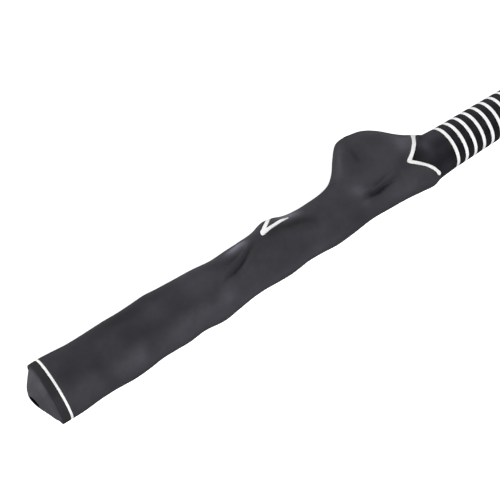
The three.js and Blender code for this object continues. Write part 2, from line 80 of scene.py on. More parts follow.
STATIONS = np.array([
    [0, 14.18, 14.18, 14.18, 14.18, 14.18, 14.18, 14.18, 14.18, 14.18, 14.18, 14.18, 14.18],
    [5, 14.23, 14.23, 14.23, 14.23, 14.23, 14.23, 14.23, 14.23, 14.23, 14.23, 14.23, 14.23],
    [11, 13.98, 13.93, 13.88, 13.83, 13.78, 13.78, 13.78, 13.78, 14.03, 14.2, 14.25, 14.13],
    [18, 13.58, 13.58, 13.48, 13.28, 13.28, 13.28, 13.28, 13.28, 13.48, 13.68, 13.78, 13.68],
    [25, 13.28, 13.53, 13.48, 13.28, 13.28, 13.18, 13.18, 13.28, 13.48, 13.58, 13.48, 13.28],
    [36, 13.38, 13.73, 13.68, 13.53, 13.58, 13.48, 13.38, 13.58, 13.98, 14.08, 13.98, 13.88],
    [43, 13.18, 13.58, 13.58, 13.43, 13.48, 13.38, 13.28, 13.38, 13.58, 13.68, 13.68, 13.58],
    [50, 12.98, 13.38, 13.58, 13.68, 13.48, 13.28, 13.18, 12.98, 12.88, 12.98, 12.98, 12.98],
    [56, 12.88, 13.28, 13.63, 13.98, 13.58, 13.18, 13.08, 13.08, 13.08, 13.03, 13.08, 13.08],
    [63, 12.68, 12.98, 13.18, 13.48, 13.38, 12.98, 12.88, 12.98, 13.18, 13.18, 13.18, 13.08],
    [71, 12.38, 12.68, 12.85, 13.08, 12.98, 12.68, 12.58, 12.48, 12.48, 12.53, 12.48, 12.48],
    [81, 12.38, 12.28, 12.42, 12.56, 12.68, 12.68, 12.58, 12.88, 13.18, 13.43, 13.28, 13.08],
    [89, 12.18, 11.38, 11.48, 11.73, 12.38, 12.68, 12.48, 12.58, 12.48, 12.48, 12.68, 12.68],
    [97, 12.28, 11.58, 11.18, 12.03, 12.48, 12.88, 12.48, 12.18, 11.88, 11.48, 11.98, 12.28],
    [104, 12.18, 12.68, 12.38, 12.26, 12.78, 12.98, 12.48, 11.98, 11.58, 11.28, 11.58, 11.88],
    [111, 11.88, 12.68, 13.18, 12.68, 12.98, 12.98, 12.38, 11.98, 11.68, 11.63, 11.48, 11.58],
    [118, 11.58, 12.18, 13.65, 14.3, 13.7, 12.78, 12.18, 11.78, 11.68, 11.68, 11.28, 11.38],
    [122, 11.48, 11.78, 13.18, 13.75, 13.23, 12.63, 12.08, 11.58, 11.33, 11.28, 11.13, 11.23],
    [126, 11.38, 11.58, 12.35, 12.25, 12.35, 12.38, 11.88, 11.38, 10.98, 10.83, 10.98, 11.08],
    [134, 11.18, 11.28, 11.48, 11.18, 11.78, 11.98, 11.68, 11.28, 11.08, 10.98, 10.98, 11.08],
    [142, 11.08, 11.18, 11.18, 11.28, 11.68, 11.78, 11.58, 11.48, 11.48, 11.53, 11.28, 11.08],
    [150, 10.98, 11.08, 11.18, 11.68, 11.78, 11.68, 11.48, 11.28, 11.18, 11.08, 10.98, 10.98],
    [162, 10.78, 10.78, 11.18, 11.68, 11.68, 11.48, 11.18, 10.58, 10.18, 9.93, 10.28, 10.58],
    [172, 10.88, 10.78, 11.18, 11.68, 11.68, 11.48, 11.08, 10.58, 10.28, 10.18, 10.58, 10.98],
    [182, 11.48, 11.38, 11.58, 11.98, 11.68, 11.58, 11.18, 10.88, 10.68, 10.63, 11.18, 11.68],
    [190, 12.08, 12.08, 12.08, 12.18, 11.98, 11.78, 11.58, 11.38, 11.38, 11.48, 11.78, 12.18],
    [196, 12.58, 12.58, 12.48, 12.58, 12.28, 12.08, 11.98, 11.88, 11.88, 12.03, 12.28, 12.48],
    [201, 12.38, 12.48, 12.48, 12.58, 12.28, 12.08, 11.78, 11.68, 11.58, 11.48, 11.88, 12.18],
    [214, 12.38, 12.48, 12.48, 12.58, 12.28, 12.08, 11.78, 11.68, 11.58, 11.48, 11.88, 12.18],
])
# finger hook: g, height above the axis, half thickness
HOOK = np.array([
    [140, 8.1, 8.1], [146, 10.6, 9.6], [150, 12.0, 10.45], [154, 13.6, 10.65], [158, 17.0, 10.75],
    [162, 22.4, 10.75], [166, 26.8, 10.75], [170, 27.65, 10.85], [174, 27.15, 10.95], [178, 26.35, 11.05],
    [182, 24.5, 11.15], [186, 21.7, 11.35], [190, 18.2, 11.55], [194, 15.25, 11.75], [198, 13.2, 11.9],
    [202, 12.2, 11.9], [208, 11.5, 11.6],
])
# front edge of the hand section: psi, start of the step down, white line, end of the step
EDGE = np.array([
    [-90, 194.5, 199.0, 203.0], [-70, 194.0, 198.8, 202.0], [-54, 193.4, 198.5, 200.2], [-42, 192.8, 197.4, 198.9],
    [-30, 192.0, 196.2, 197.7], [-12, 189.5, 193.5, 195.0], [6, 186.3, 189.8, 191.4], [21, 184.3, 187.6, 189.2],
    [36, 189.6, 191.9, 193.4], [48, 192.8, 194.4, 196.0], [66, 195.8, 197.2, 199.0], [78, 197.6, 199.1, 201.2],
    [90, 199.2, 200.8, 204.2], [120, 199.2, 201.2, 203.4], [150, 198.0, 200.6, 202.6], [180, 196.5, 199.6, 202.0],
    [210, 195.6, 199.2, 202.2], [240, 194.8, 199.0, 202.8], [270, 194.5, 199.0, 203.0],
])
EDGE_MEAN = 195.0
TAPER = np.array([[185, 10.8], [202, 10.6], [207, 10.3], [RING_FIRST, 10.15], [GRIP_LENGTH, MOUTH_R]])

# the two painted V marks: both long edges of each as (g, psi in degrees), and which point of
# each edge is the corner of the V
UPPER_V = {
    "outer": [(120.6, 94), (119.4, 84), (118.2, 77.3), (117, 71.8), (115.5, 66.4), (114, 61.3), (112.6, 56.3), (112.0, 50.0), (112.3, 46.0),
              (114, 47.0), (116.25, 49.8), (118.5, 51.5), (121.5, 53.2), (124, 54.3), (126.8, 54.6)],
    "inner": [(122.6, 94), (121.2, 84), (120, 74.7), (118.5, 66.8), (117, 61.3), (115.8, 57.2), (117, 56.8), (119.25, 57.7), (120.75, 58.4),
              (122.25, 59.2), (124, 58.9), (126.8, 55.6)],
    "corner": (7, 5),
}
LOWER_V = {
    "outer": [(200.2, 96), (199.4, 90), (198.6, 84), (197.0, 72), (195.5, 60), (193.7, 48), (190.9, 36), (189.1, 30), (187.0, 24), (186.0, 19.2),
              (186.8, 12), (189.6, 0), (192.4, -12), (194.4, -24), (196.0, -36), (196.9, -48), (197.9, -55)],
    "inner": [(201.8, 96), (201.0, 90), (200.2, 84), (198.6, 72), (197.1, 60), (195.35, 48), (193.0, 36), (191.6, 30), (190.1, 24), (188.7, 18.2),
              (189.8, 12), (192.1, 0), (194.4, -12), (196.3, -24), (197.6, -36), (198.8, -48), (198.9, -54.5)],
    "corner": (9, 9),
}

# soft bumps: g, psi, length and width (mm), height (mm), and how much lighter (+) or darker the rubber's colour is made
# there, partly real wear and partly painted highlight and painted shade over the relief
BUMPS = [
    (12, 5, 5, 4, -0.25, -0.15), (15, -20, 5, 4, 0.30, 0.15), (27, -22, 4, 4, 0.25, 0.12), (40, -21, 4, 4.5, 0.50, 0.28), (64, -13, 6, 4, 0.35, 0.2),
    (61, -31, 4, 4, 0.25, 0.1), (73, -15, 3, 4, 0.15, 0.12), (84, -17, 3.5, 4, 0.45, 0.28), (23, -10, 2.2, 5, -0.35, -0.22), (26, -33, 2.2, 5, -0.25, -0.2),
    (47, -28, 2.5, 6, -0.30, -0.1), (54, -4, 4, 3.5, -0.30, -0.12), (32, 24, 7, 3.2, 0.30, 0.15), (55, 27, 4, 3.5, 0.40, 0.2),
    (78, 24, 6, 3.5, 0.40, 0.2), (40, 8, 4, 3, -0.40, -0.2), (63, 6, 4, 3, -0.30, -0.1), (159, 20, 2.2, 2.4, 0.80, 0.35),
    (159.5, -12, 1.5, 1.4, 0.30, 0.2), (189.5, 52, 2.8, 2.4, 0.60, 0.55), (184, -30, 8, 5, 0.30, 0.05), (90, -2, 4, 3, 0.30, 0.1),
    (93, 34, 4, 3.2, -0.40, -0.1), (101, 0, 6, 6, 0.10, 0), (122, -32, 9, 5, -0.15, -0.12), (133, -25, 2.6, 7, 0.15, 0.08),
    (145, -38, 6, 5, -0.12, -0.05), (155, -33, 3, 4.5, -0.20, -0.15), (141, 32, 5, 5, 0.15, 0.05), (164, 64, 4, 2.6, -0.20, -0.1),
    (160.5, 62, 1.6, 4, 0.20, 0), (167.5, 66, 0.9, 0.9, -0.15, -0.3), (45, 58, 12, 3, -0.10, -0.1), (78, 62, 6, 3, 0.10, 0.1),
    # on the next line, from (160, 38) on, the bumps have no height: their lighter tone is painted highlight only
    (184, 40, 4, 3, 0.15, 0.05), (178, 62, 6, 3, 0.10, 0), (160, 38, 8, 4.5, 0, 0.12), (178, -35, 6, 7, 0, 0.12), (178, 42, 5, 4, 0, 0.12), (204.5, 52, 4.5, 7, 0, 0.5),
    (197.8, 44, 2.4, 5.5, 0, 0.6), (198, 25, 2.4, 4, 0, 0.3), (203, -44, 3, 5, 0, 0.4),
]
# creases and ridges: track of (g, psi), half width (mm), height at each point (mm, minus is a valley), tone at each
# point (partly wear, partly painted shade in the valleys and painted highlight on the ridges)
CREASES = [
    ([(84, 4), (88.5, 9), (92.5, 11), (96, 16), (100, 26), (103, 33), (106, 40), (108.5, 43)], 1.05,
     [0, -0.8, -1.4, -1.5, -1.5, -1.3, -0.7, 0], [0, -0.25, -0.5, -0.4, -0.4, -0.4, -0.2, 0]),
    ([(88, 34), (92, 39), (97, 42), (101.5, 45), (105, 51), (108, 57)], 1.0, [0, -0.4, -0.7, -0.8, -0.5, 0], [0, 0, -0.1, -0.2, -0.1, 0]),
    ([(90, 24), (95, 28), (99, 34), (103, 41), (107, 48), (111, 48)], 1.1, [0, 0.3, 0.4, 0.4, 0.3, 0], [0, 0.05, 0.15, 0.15, 0, 0]),
    # the ridge beside the upper crease carries a painted highlight in its tone
    ([(93, 68), (97, 64), (101, 60), (104, 57), (108, 58)], 1.6, [0, 0.7, 1.1, 0.8, 0], [0, 0.65, 0.95, 0.8, 0]),
    ([(112, 40), (116, 42), (120, 43), (124, 40), (128, 36), (132, 29), (135, 20), (138, 12)], 1.7,
     [0, -0.5, -0.8, -1.1, -1.1, -0.9, -0.5, 0], [0, -0.3, -0.4, -0.5, -0.5, -0.45, -0.3, 0]),
    # the ridge behind the upper V mark carries a painted highlight in its tone
    ([(120, 68), (124, 62), (128, 59), (131, 57), (135, 55)], 1.9, [0, 0.3, 0.4, 0.3, 0], [0, 0.6, 0.85, 0.6, 0]),
    ([(158, 2), (161, 2), (164, 0), (167, -2.5), (170, 0), (173, 3), (176, 6), (181, 10)], 1.15,
     [0, -0.8, -1.3, -1.5, -1.3, -1.0, -0.5, 0], [0, -0.15, -0.5, -0.6, -0.5, -0.3, -0.1, 0]),
    ([(162, 12), (166, 14), (169, 15.5), (172, 18), (176, 21)], 1.1, [0, -0.5, -0.7, -0.5, 0], [0, -0.1, -0.25, -0.15, 0]),
    ([(166, 4), (169, 8), (172, 11), (176, 14), (179, 15)], 0.9, [0, 0.3, 0.4, 0.35, 0], [0, 0.1, 0.15, 0.1, 0]),
    ([(170, 8), (176, 13), (182, 18), (187, 22)], 3.0, [0, -0.5, -0.6, -0.3], [0, -0.05, -0.2, -0.2]),
    ([(6, 4), (20, 5), (30, 6), (40, 9), (51, 4), (62, 8), (72, 6), (82, 4), (90, 4)], 2.8,
     [0, -0.4, -0.5, -0.6, -0.5, -0.6, -0.6, -0.5, 0], [0, -0.1, -0.1, -0.15, -0.1, -0.15, -0.15, -0.15, 0]),
    ([(6, 24), (18, 25), (32, 23), (45, 28), (57, 26), (70, 25), (82, 26), (90, 22)], 2.6,
     [0, 0.15, 0.2, 0.15, 0.2, 0.2, 0.2, 0], [0, 0.05, 0.05, 0.05, 0.05, 0.05, 0.05, 0]),
    ([(6, 46), (22, 46), (32, 44), (41, 46), (52, 44), (63, 42)], 3.0, [0, -0.35, -0.3, -0.4, -0.2, 0], [0, -0.15, -0.15, -0.2, -0.1, 0]),
    ([(86, 30), (92, 37), (98, 46), (101, 52)], 2.2, [0, -0.3, -0.4, 0], [0, 0, 0, 0]),
    ([(84, -6), (92, -2), (98, 8), (102, 18)], 1.8, [0, 0.3, 0.25, 0], [0, 0, 0.05, 0]),
    # broad paths along the top and the lower side, lighter in tone only: painted highlight; the darker strip between
    # them is painted shade
    ([(56, 80), (80, 78), (104, 74), (130, 70), (148, 72)], 3.0, [0, 0, 0, 0, 0], [0, 0.2, 0.25, 0.25, 0]),
    ([(10, -56), (40, -58), (75, -58), (105, -58), (135, -56), (150, -52)], 3.2, [0, 0, 0, 0, 0, 0], [0, 0.1, 0.12, 0.18, 0.16, 0]),
    # the round taper, tone only: painted shade along one side, painted highlight along the other
    ([(204, -12), (264, -12)], 4.5, [0, 0], [-0.32, -0.32]),
    ([(204, 68), (264, 68)], 3.6, [0, 0], [0.42, 0.42]),
    # painted shade: a darker strip in tone only, along psi 42 to 48
    ([(8, 42), (30, 46), (60, 48), (85, 42), (110, 44), (128, 44)], 3.0, [0, 0, 0, 0, 0, 0], [0, -0.08, -0.08, -0.05, -0.12, 0]),
]


def smooth_rows(rows, x):
    """Value of every column of a table (first column: position) along a smooth curve."""
    xs, ys = rows[:, 0], rows[:, 1:]
    x = np.clip(np.asarray(x, float), xs[0], xs[-1])
    i = np.clip(np.searchsorted(xs, x, side="right") - 1, 0, len(xs) - 2)
    h = np.diff(xs)[:, None]
    slope = (ys[1:] - ys[:-1]) / h
    tan = np.zeros(ys.shape)
    tan[1:-1] = (slope[:-1] * h[1:] + slope[1:] * h[:-1]) / (h[1:] + h[:-1])
    t = ((x - xs[i]) / h[i, 0])[..., None]
    hh = h[i, 0][..., None]
    return ((2 * t**3 - 3 * t**2 + 1) * ys[i] + (t**3 - 2 * t**2 + t) * hh * tan[i]
            + (-2 * t**3 + 3 * t**2) * ys[i + 1] + (t**3 - t**2) * hh * tan[i + 1])


def section_radius(g, psi):
    rows = smooth_rows(STATIONS, g)
    p = (np.degrees(psi) % 360.0) / 30.0
    k = np.floor(p).astype(int)
    t = p - k
    a, b, c, d = (np.take_along_axis(rows, ((k + n) % 12)[..., None], -1)[..., 0] for n in (-1, 0, 1, 2))
    return 0.5 * (2 * b + (-a + c) * t + (2 * a - 5 * b + 4 * c - d) * t**2 + (-a + 3 * b - 3 * c + d) * t**3)


def hook_radius(g, psi):
    hw = smooth_rows(HOOK, g)
    s, c = np.sin(psi), np.abs(np.cos(psi))
    w = hw[..., 1] * (1 - 0.22 * np.clip(s, 0, 1) ** 2)
    n = 3.0
    r = ((c / w) ** n + (np.clip(s, 1e-4, 1) / hw[..., 0]) ** n) ** (-1 / n)
    return np.where(s > 0, r, 0.0)


def edge(psi):
    deg = (np.degrees(psi) + 90.0) % 360.0 - 90.0
    return smooth_rows(EDGE, deg)


def taper(g):
    return np.interp(g, TAPER[:, 0], TAPER[:, 1])


def plain_radius(g, psi):
    b, hk, k = section_radius(g, psi), hook_radius(g, psi), 1.2
    m = np.clip(0.5 + 0.5 * (b - hk) / k, 0, 1)
    r = hk * (1 - m) + b * m + k * m * (1 - m)
    e = edge(psi)
    t = np.clip((g - e[..., 0]) / (e[..., 2] - e[..., 0]), 0, 1)
    t = t * t * (3 - 2 * t)
    return np.where(g > 206.2, taper(g), r * (1 - t) + taper(g) * t)


def track_distance(g, psi, track, values=None):
    """Distance in mm over the skin to a track, and the value carried by its nearest point."""
    R = 12.0
    best = np.full(g.shape, 1e9)
    val = np.zeros(g.shape)
    ps = (psi + math.pi) % (2 * math.pi) - math.pi
    for i in range(len(track) - 1):
        ax, ay = track[i][0], math.radians(track[i][1])
        bx, by = track[i + 1][0], math.radians(track[i + 1][1])
        ex, ey = bx - ax, R * (by - ay)
        d = (ps - ay + math.pi) % (2 * math.pi) - math.pi
        px, py = g - ax, R * d
        t = np.clip((px * ex + py * ey) / (ex * ex + ey * ey), 0, 1)
        q = np.hypot(px - t * ex, py - t * ey)
        near = q < best
        best = np.where(near, q, best)
        if values is not None:
            val = np.where(near, values[i] * (1 - t) + values[i + 1] * t, val)
    return best, val


def skin_features(g, psi, column):
    """Sum of the bumps and creases at points of the skin: column 0 is height in mm, 1 is the tone, partly wear and
    partly painted shade and painted highlight.
    """
    add = np.zeros(g.shape)
    for bg, bp, sg, sp, *value in BUMPS:
        if value[column]:
            d = (psi - math.radians(bp) + math.pi) % (2 * math.pi) - math.pi
            add += value[column] * np.exp(-0.5 * ((g - bg) / sg) ** 2 - 0.5 * (12.5 * d / sp) ** 2)
    for track, w, *value in CREASES:
        if any(value[column]):
            q, v = track_distance(g, psi, track, value[column])
            add += v * np.exp(-0.5 * (q / w) ** 2)
    return add


def skin_radius(g, psi):
    g, psi = np.broadcast_arrays(np.asarray(g, float), np.asarray(psi, float))
    return plain_radius(g, psi) + skin_features(g, psi, 0)


def flowing(points, count):
    """Points spread evenly along a smooth curve through the given ones."""
    P = np.array(points, float)
    P = np.vstack([2 * P[0] - P[1], P, 2 * P[-1] - P[-2]])
    fine = []
    for a, b, c, d in zip(P[:-3], P[1:-2], P[2:-1], P[3:]):
        for t in np.arange(12) / 12.0:
            fine.append(0.5 * (2 * b + (c - a) * t + (2 * a - 5 * b + 4 * c - d) * t**2 + (-a + 3 * b - 3 * c + d) * t**3))
    fine = np.array(fine + [P[-2]])
    s = np.concatenate([[0], np.cumsum(np.linalg.norm(np.diff(fine, axis=0), axis=1))])
    u = np.linspace(0, s[-1], count)
    return np.stack([np.interp(u, s, fine[:, 0]), np.interp(u, s, fine[:, 1])], -1)


SKIN_R = 12.0    # mean radius that turns an angle into a length over the skin


def mark_edges(mark, step=0.4):
    """The two edges of a mark as matched rows of (g, length round the skin in mm)."""
    halves = []
    for name, corner in (("outer", mark["corner"][0]), ("inner", mark["corner"][1])):
        P = [(g, SKIN_R * math.radians(p)) for g, p in mark[name]]
        halves.append((P[: corner + 1], P[corner:]))
    out = [[], []]
    for half in (0, 1):
        length = max(sum(math.dist(a, b) for a, b in zip(e[half][:-1], e[half][1:])) for e in halves)
        count = int(length / step) + 2
        for k in (0, 1):
            pts = flowing(halves[k][half], count)
            out[k].append(pts if half == 0 else pts[1:])
    return np.concatenate(out[0]), np.concatenate(out[1])


def outline_distance(x, y, poly):
    """Signed distance to a closed outline, minus inside."""
    d = np.full(x.shape, 1e9)
    inside = np.zeros(x.shape, bool)
    for (ax, ay), (bx, by) in zip(poly, np.roll(poly, -1, axis=0)):
        ex, ey = bx - ax, by - ay
        px, py = x - ax, y - ay
        t = np.clip((px * ex + py * ey) / max(ex * ex + ey * ey, 1e-12), 0, 1)
        d = np.minimum(d, np.hypot(px - t * ex, py - t * ey))
        if ay != by:
            cross = (ay > y) != (by > y)
            inside ^= cross & (x < ax + (y - ay) * ex / ey)
    return np.where(inside, -d, d)


def groove(g, psi):
    """Depth of the moulded groove that each painted V mark lies in."""
    depth = np.zeros(g.shape)
    for mark in (UPPER_V, LOWER_V):
        a, b = mark_edges(mark, 0.8)
        poly = np.concatenate([a, b[::-1]])
        wrapped = (psi + math.pi) % (2 * math.pi) - math.pi
        y = SKIN_R * wrapped
        lo, hi = poly.min(0) - 1.5, poly.max(0) + 1.5
        near = (g > lo[0]) & (g < hi[0]) & (y > lo[1]) & (y < hi[1])
        if near.any():
            d = outline_distance(g[near], y[near], poly)
            depth[near] = np.maximum(depth[near], 0.34 * np.clip((0.5 - d) / 0.34, 0, 1))
    return depth


def world(g, psi, r):
    """Row frame, in metres, of points given by g, psi and r in mm."""
    g, psi, r = np.broadcast_arrays(np.asarray(g, float), np.asarray(psi, float), np.asarray(r, float))
    return np.stack([LENGTH - g, -r * np.sin(psi + ROLL), r * np.cos(psi + ROLL)], -1) / 1000.0


# ------------------------------------------------------------------ mesh helpers
def make_object(name, verts, faces, angle=38.0):
    mesh = bpy.data.meshes.new(name)
    mesh.from_pydata([tuple(v) for v in verts], [], [tuple(f) for f in faces])
    mesh.validate()
    # faces point out: compare the signed volume
    co = np.array([v.co[:] for v in mesh.vertices])
    vol = 0.0
    mesh.calc_loop_triangles()
    tri = np.array([t.vertices[:] for t in mesh.loop_triangles])
    vol = np.einsum("ij,ij->i", co[tri[:, 0]], np.cross(co[tri[:, 1]], co[tri[:, 2]])).sum()
    if vol < 0:
        mesh.flip_normals()
    mesh.polygons.foreach_set("use_smooth", [True] * len(mesh.polygons))
    mesh.update()
    mesh.set_sharp_from_angle(angle=math.radians(angle))
    ob = bpy.data.objects.new(name, mesh)
    bpy.context.scene.collection.objects.link(ob)
    return ob


def grid_faces(rows, cols, wrap_rows):
    faces = []
    last = rows if wrap_rows else rows - 1
    for i in range(last):
        a = i * cols
        b = ((i + 1) % rows) * cols
        for j in range(cols):
            k = (j + 1) % cols
            faces.append((a + j, a + k, b + k, b + j))
    return faces


def rounded(points, n=5):
    """Profile with its marked corners rounded: points are (r, g) or (r, g, radius)."""
    out = []
    m = len(points)
    for i, p in enumerate(points):
        rad = p[2] if len(p) > 2 else 0.0
        if rad <= 0 or i in (0, m - 1):
            out.append((p[0], p[1]))
            continue
        a, b, c = (np.array(points[k][:2], float) for k in (i - 1, i, i + 1))
        u, v = a - b, c - b
        lu, lv = np.linalg.norm(u), np.linalg.norm(v)
        u, v = u / lu, v / lv
        ang = math.acos(np.clip(np.dot(u, v), -1, 1))
        cut = min(rad / math.tan(ang / 2), 0.49 * lu, 0.49 * lv)
        s, e = b + u * cut, b + v * cut
        for k in range(n + 1):
            t = k / n
            q = (1 - t) ** 2 * s + 2 * t * (1 - t) * b + t * t * e
            out.append((q[0], q[1]))
    return out


def supported(profile, gap=0.25):
    """Extra points close to both ends of each long run, so the shading stays flat along it."""
    out = []
    for a, b in zip(profile[:-1], profile[1:]):
        out.append(a)
        l = math.hypot(b[0] - a[0], b[1] - a[1])
        if l > 4 * gap:
            t = gap / l
            out.append((a[0] + t * (b[0] - a[0]), a[1] + t * (b[1] - a[1])))
            out.append((b[0] - t * (b[0] - a[0]), b[1] - t * (b[1] - a[1])))
    out.append(profile[-1])
    return out


def turned(name, profile, segments=96, closed=False, angle=38.0):
    """Turned piece. The profile runs from the axis to the axis, or closes on itself."""
    pts = supported(list(profile) + ([profile[0]] if closed else []))
    if closed:
        pts = pts[:-1]
    psi = np.arange(segments) * (2 * math.pi / segments)
    verts, rows = [], []
    for r, g in pts:
        if r < 1e-6:
            rows.append([len(verts)])
            verts.append(world(g, 0, 0))
        else:
            rows.append(list(range(len(verts), len(verts) + segments)))
            verts.extend(world(g, psi, r))
    faces = []
    pairs = list(zip(rows[:-1], rows[1:])) + ([(rows[-1], rows[0])] if closed else [])
    for a, b in pairs:
        for j in range(segments):
            k = (j + 1) % segments
            if len(a) == 1:
                faces.append((a[0], b[k], b[j]))
            elif len(b) == 1:
                faces.append((a[j], a[k], b[0]))
            else:
                faces.append((a[j], a[k], b[k], b[j]))
    return make_object(name, verts, faces, angle)


# ------------------------------------------------------------------ materials
def nodes_of(mat):
    mat.use_nodes = True
    nt = mat.node_tree
    nt.nodes.clear()
    out = nt.nodes.new("ShaderNodeOutputMaterial")
    bsdf = nt.nodes.new("ShaderNodeBsdfPrincipled")
    nt.links.new(bsdf.outputs[0], out.inputs[0])
    return nt, bsdf


def noise(nt, scale, detail=2.0, rough=0.5, stretch=(1, 1, 1)):
    tc = nt.nodes.new("ShaderNodeTexCoord")
    mp = nt.nodes.new("ShaderNodeMapping")
    mp.inputs["Scale"].default_value = stretch
    tx = nt.nodes.new("ShaderNodeTexNoise")
    tx.inputs["Scale"].default_value = scale
    tx.inputs["Detail"].default_value = detail
    tx.inputs["Roughness"].default_value = rough
    nt.links.new(tc.outputs["Object"], mp.inputs[0])
    nt.links.new(mp.outputs[0], tx.inputs["Vector"])
    return tx.outputs["Fac"]


def ramp(nt, fac, stops):
    rp = nt.nodes.new("ShaderNodeValToRGB")
    el = rp.color_ramp.elements
    while len(el) < len(stops):
        el.new(0.5)
    for e, (pos, col) in zip(el, stops):
        e.position = pos
        e.color = (*col, 1) if len(col) == 3 else col
    nt.links.new(fac, rp.inputs[0])
    return rp.outputs[0]


def span(nt, fac, a, b, lo=0.3, hi=0.7):
    mr = nt.nodes.new("ShaderNodeMapRange")
    mr.inputs["From Min"].default_value = lo
    mr.inputs["From Max"].default_value = hi
    mr.inputs["To Min"].default_value = a
    mr.inputs["To Max"].default_value = b
    nt.links.new(fac, mr.inputs["Value"])
    return mr.outputs[0]


def bumped(nt, bsdf, layers):
    """Bump from a list of (height socket, distance in m, strength), the first the coarsest."""
    normal = None
    for height, distance, strength in layers:
        bp = nt.nodes.new("ShaderNodeBump")
        bp.inputs["Distance"].default_value = distance
        bp.inputs["Strength"].default_value = strength
        nt.links.new(height, bp.inputs["Height"])
        if normal is not None:
            nt.links.new(normal, bp.inputs["Normal"])
        normal = bp.outputs[0]
    nt.links.new(normal, bsdf.inputs["Normal"])


def rubber(name, dark, light, rough=(0.58, 0.70), grain=0.25, spec=0.22, use_wear_and_painted_light=False):
    mat = bpy.data.materials.new(name)
    nt, b = nodes_of(mat)
    mottle = noise(nt, 160, 4, 0.6)
    colour = ramp(nt, mottle, [(0.3, dark), (0.7, light)])
    if use_wear_and_painted_light:             # colour scaled by a tone that is partly real wear, rubbed lighter on the ridges, and partly painted light: painted shade in the creases and painted highlights on ridges and facets
        wear_and_painted_light = nt.nodes.new("ShaderNodeAttribute")
        wear_and_painted_light.attribute_name = "wear_and_painted_light"
        scale = nt.nodes.new("ShaderNodeVectorMath")
        scale.operation = "SCALE"
        nt.links.new(colour, scale.inputs[0])
        nt.links.new(wear_and_painted_light.outputs["Fac"], scale.inputs["Scale"])
        colour = scale.outputs[0]
    nt.links.new(colour, b.inputs["Base Color"])
    nt.links.new(span(nt, noise(nt, 420, 3, 0.6), rough[0], rough[1]), b.inputs["Roughness"])
    b.inputs["Specular IOR Level"].default_value = spec
    fine = noise(nt, 3200, 2, 0.5)
    pores = noise(nt, 900, 3, 0.6)
    bumped(nt, b, [(pores, 0.00006, grain), (fine, 0.00003, grain)])
    return mat


def paint(name, dark, light, rough=(0.4, 0.52)):
    mat = bpy.data.materials.new(name)
    nt, b = nodes_of(mat)
    nt.links.new(ramp(nt, noise(nt, 700, 3, 0.6), [(0.3, dark), (0.7, light)]), b.inputs["Base Color"])
    nt.links.new(span(nt, noise(nt, 1500, 2), rough[0], rough[1]), b.inputs["Roughness"])
    bumped(nt, b, [(noise(nt, 1800, 2), 0.00004, 0.15)])
    return mat


def metal(name, dark, light, rough, streak=9000.0, streak_bump=0.2, smudge=60.0):
    """Turned or polished metal: fine rings round the axis, with a soft smudging on top."""
    mat = bpy.data.materials.new(name)
    nt, b = nodes_of(mat)
    b.inputs["Metallic"].default_value = 1.0
    rings = noise(nt, 1.0, 3, 0.6, (streak, 40, 40))
    film = noise(nt, smudge, 3, 0.55)
    nt.links.new(ramp(nt, film, [(0.3, dark), (0.7, light)]), b.inputs["Base Color"])
    mix = nt.nodes.new("ShaderNodeMath")
    mix.operation = "ADD"
    nt.links.new(span(nt, rings, -0.03, 0.03), mix.inputs[0])
    nt.links.new(span(nt, film, rough[0], rough[1]), mix.inputs[1])
    nt.links.new(mix.outputs[0], b.inputs["Roughness"])
    bumped(nt, b, [(rings, 0.00001, streak_bump)])
    return mat


def plastic(name, dark, light, rough=(0.16, 0.26)):
    mat = bpy.data.materials.new(name)
    nt, b = nodes_of(mat)
    nt.links.new(ramp(nt, noise(nt, 240, 3), [(0.3, dark), (0.7, light)]), b.inputs["Base Color"])
    nt.links.new(span(nt, noise(nt, 500, 3), rough[0], rough[1]), b.inputs["Roughness"])
    bumped(nt, b, [(noise(nt, 700, 2), 0.00002, 0.12)])
    return mat


M = {
    "grip": rubber("grip_rubber", (0.0292, 0.0280, 0.0346), (0.0378, 0.0363, 0.0438), use_wear_and_painted_light=True),
    # taper rubber: smoother, and darker in colour as painted shade for the dark reflections of its smoother skin
    "taper": rubber("taper_rubber", (0.0092, 0.0086, 0.0113), (0.0124, 0.0116, 0.0150), (0.46, 0.58), 0.12, 0.12, True),
    "cap": rubber("cap_rubber", (0.030, 0.0295, 0.035), (0.050, 0.0495, 0.057)),
    "vent": rubber("vent_shadow", (0.003, 0.003, 0.003), (0.005, 0.005, 0.005), (0.7, 0.8), 0.1, 0.1),
    "line": paint("line_white", (0.86, 0.86, 0.855), (0.95, 0.95, 0.945)),
    "tape": paint("tape", (0.60, 0.53, 0.38), (0.74, 0.68, 0.52), (0.6, 0.75)),
    "chrome": metal("shaft_chrome", (0.50, 0.51, 0.53), (0.57, 0.58, 0.60), (0.38, 0.46), 6000, 0.06, 45),
    "ferrule": plastic("ferrule_plastic", (0.007, 0.007, 0.008), (0.012, 0.012, 0.014)),
    "weight": metal("weight_steel", (0.36, 0.365, 0.375), (0.47, 0.475, 0.485), (0.34, 0.42), 9000, 0.3, 50),
    "insert": metal("insert_steel", (0.34, 0.34, 0.35), (0.45, 0.45, 0.46), (0.35, 0.45), 9000, 0.4, 80),
    "screw": metal("screw_steel", (0.025, 0.025, 0.027), (0.045, 0.045, 0.048), (0.38, 0.5), 5000, 0.2, 200),
    "washer": metal("washer_steel", (0.45, 0.45, 0.46), (0.58, 0.58, 0.59), (0.28, 0.4), 200, 0.2, 200),
    "bumper": rubber("bumper_rubber", (0.018, 0.018, 0.020), (0.028, 0.028, 0.030), (0.55, 0.72), 0.4, 0.35),
}


def dress(ob, key):
    ob.data.materials.clear()
    ob.data.materials.append(M[key])
    return ob


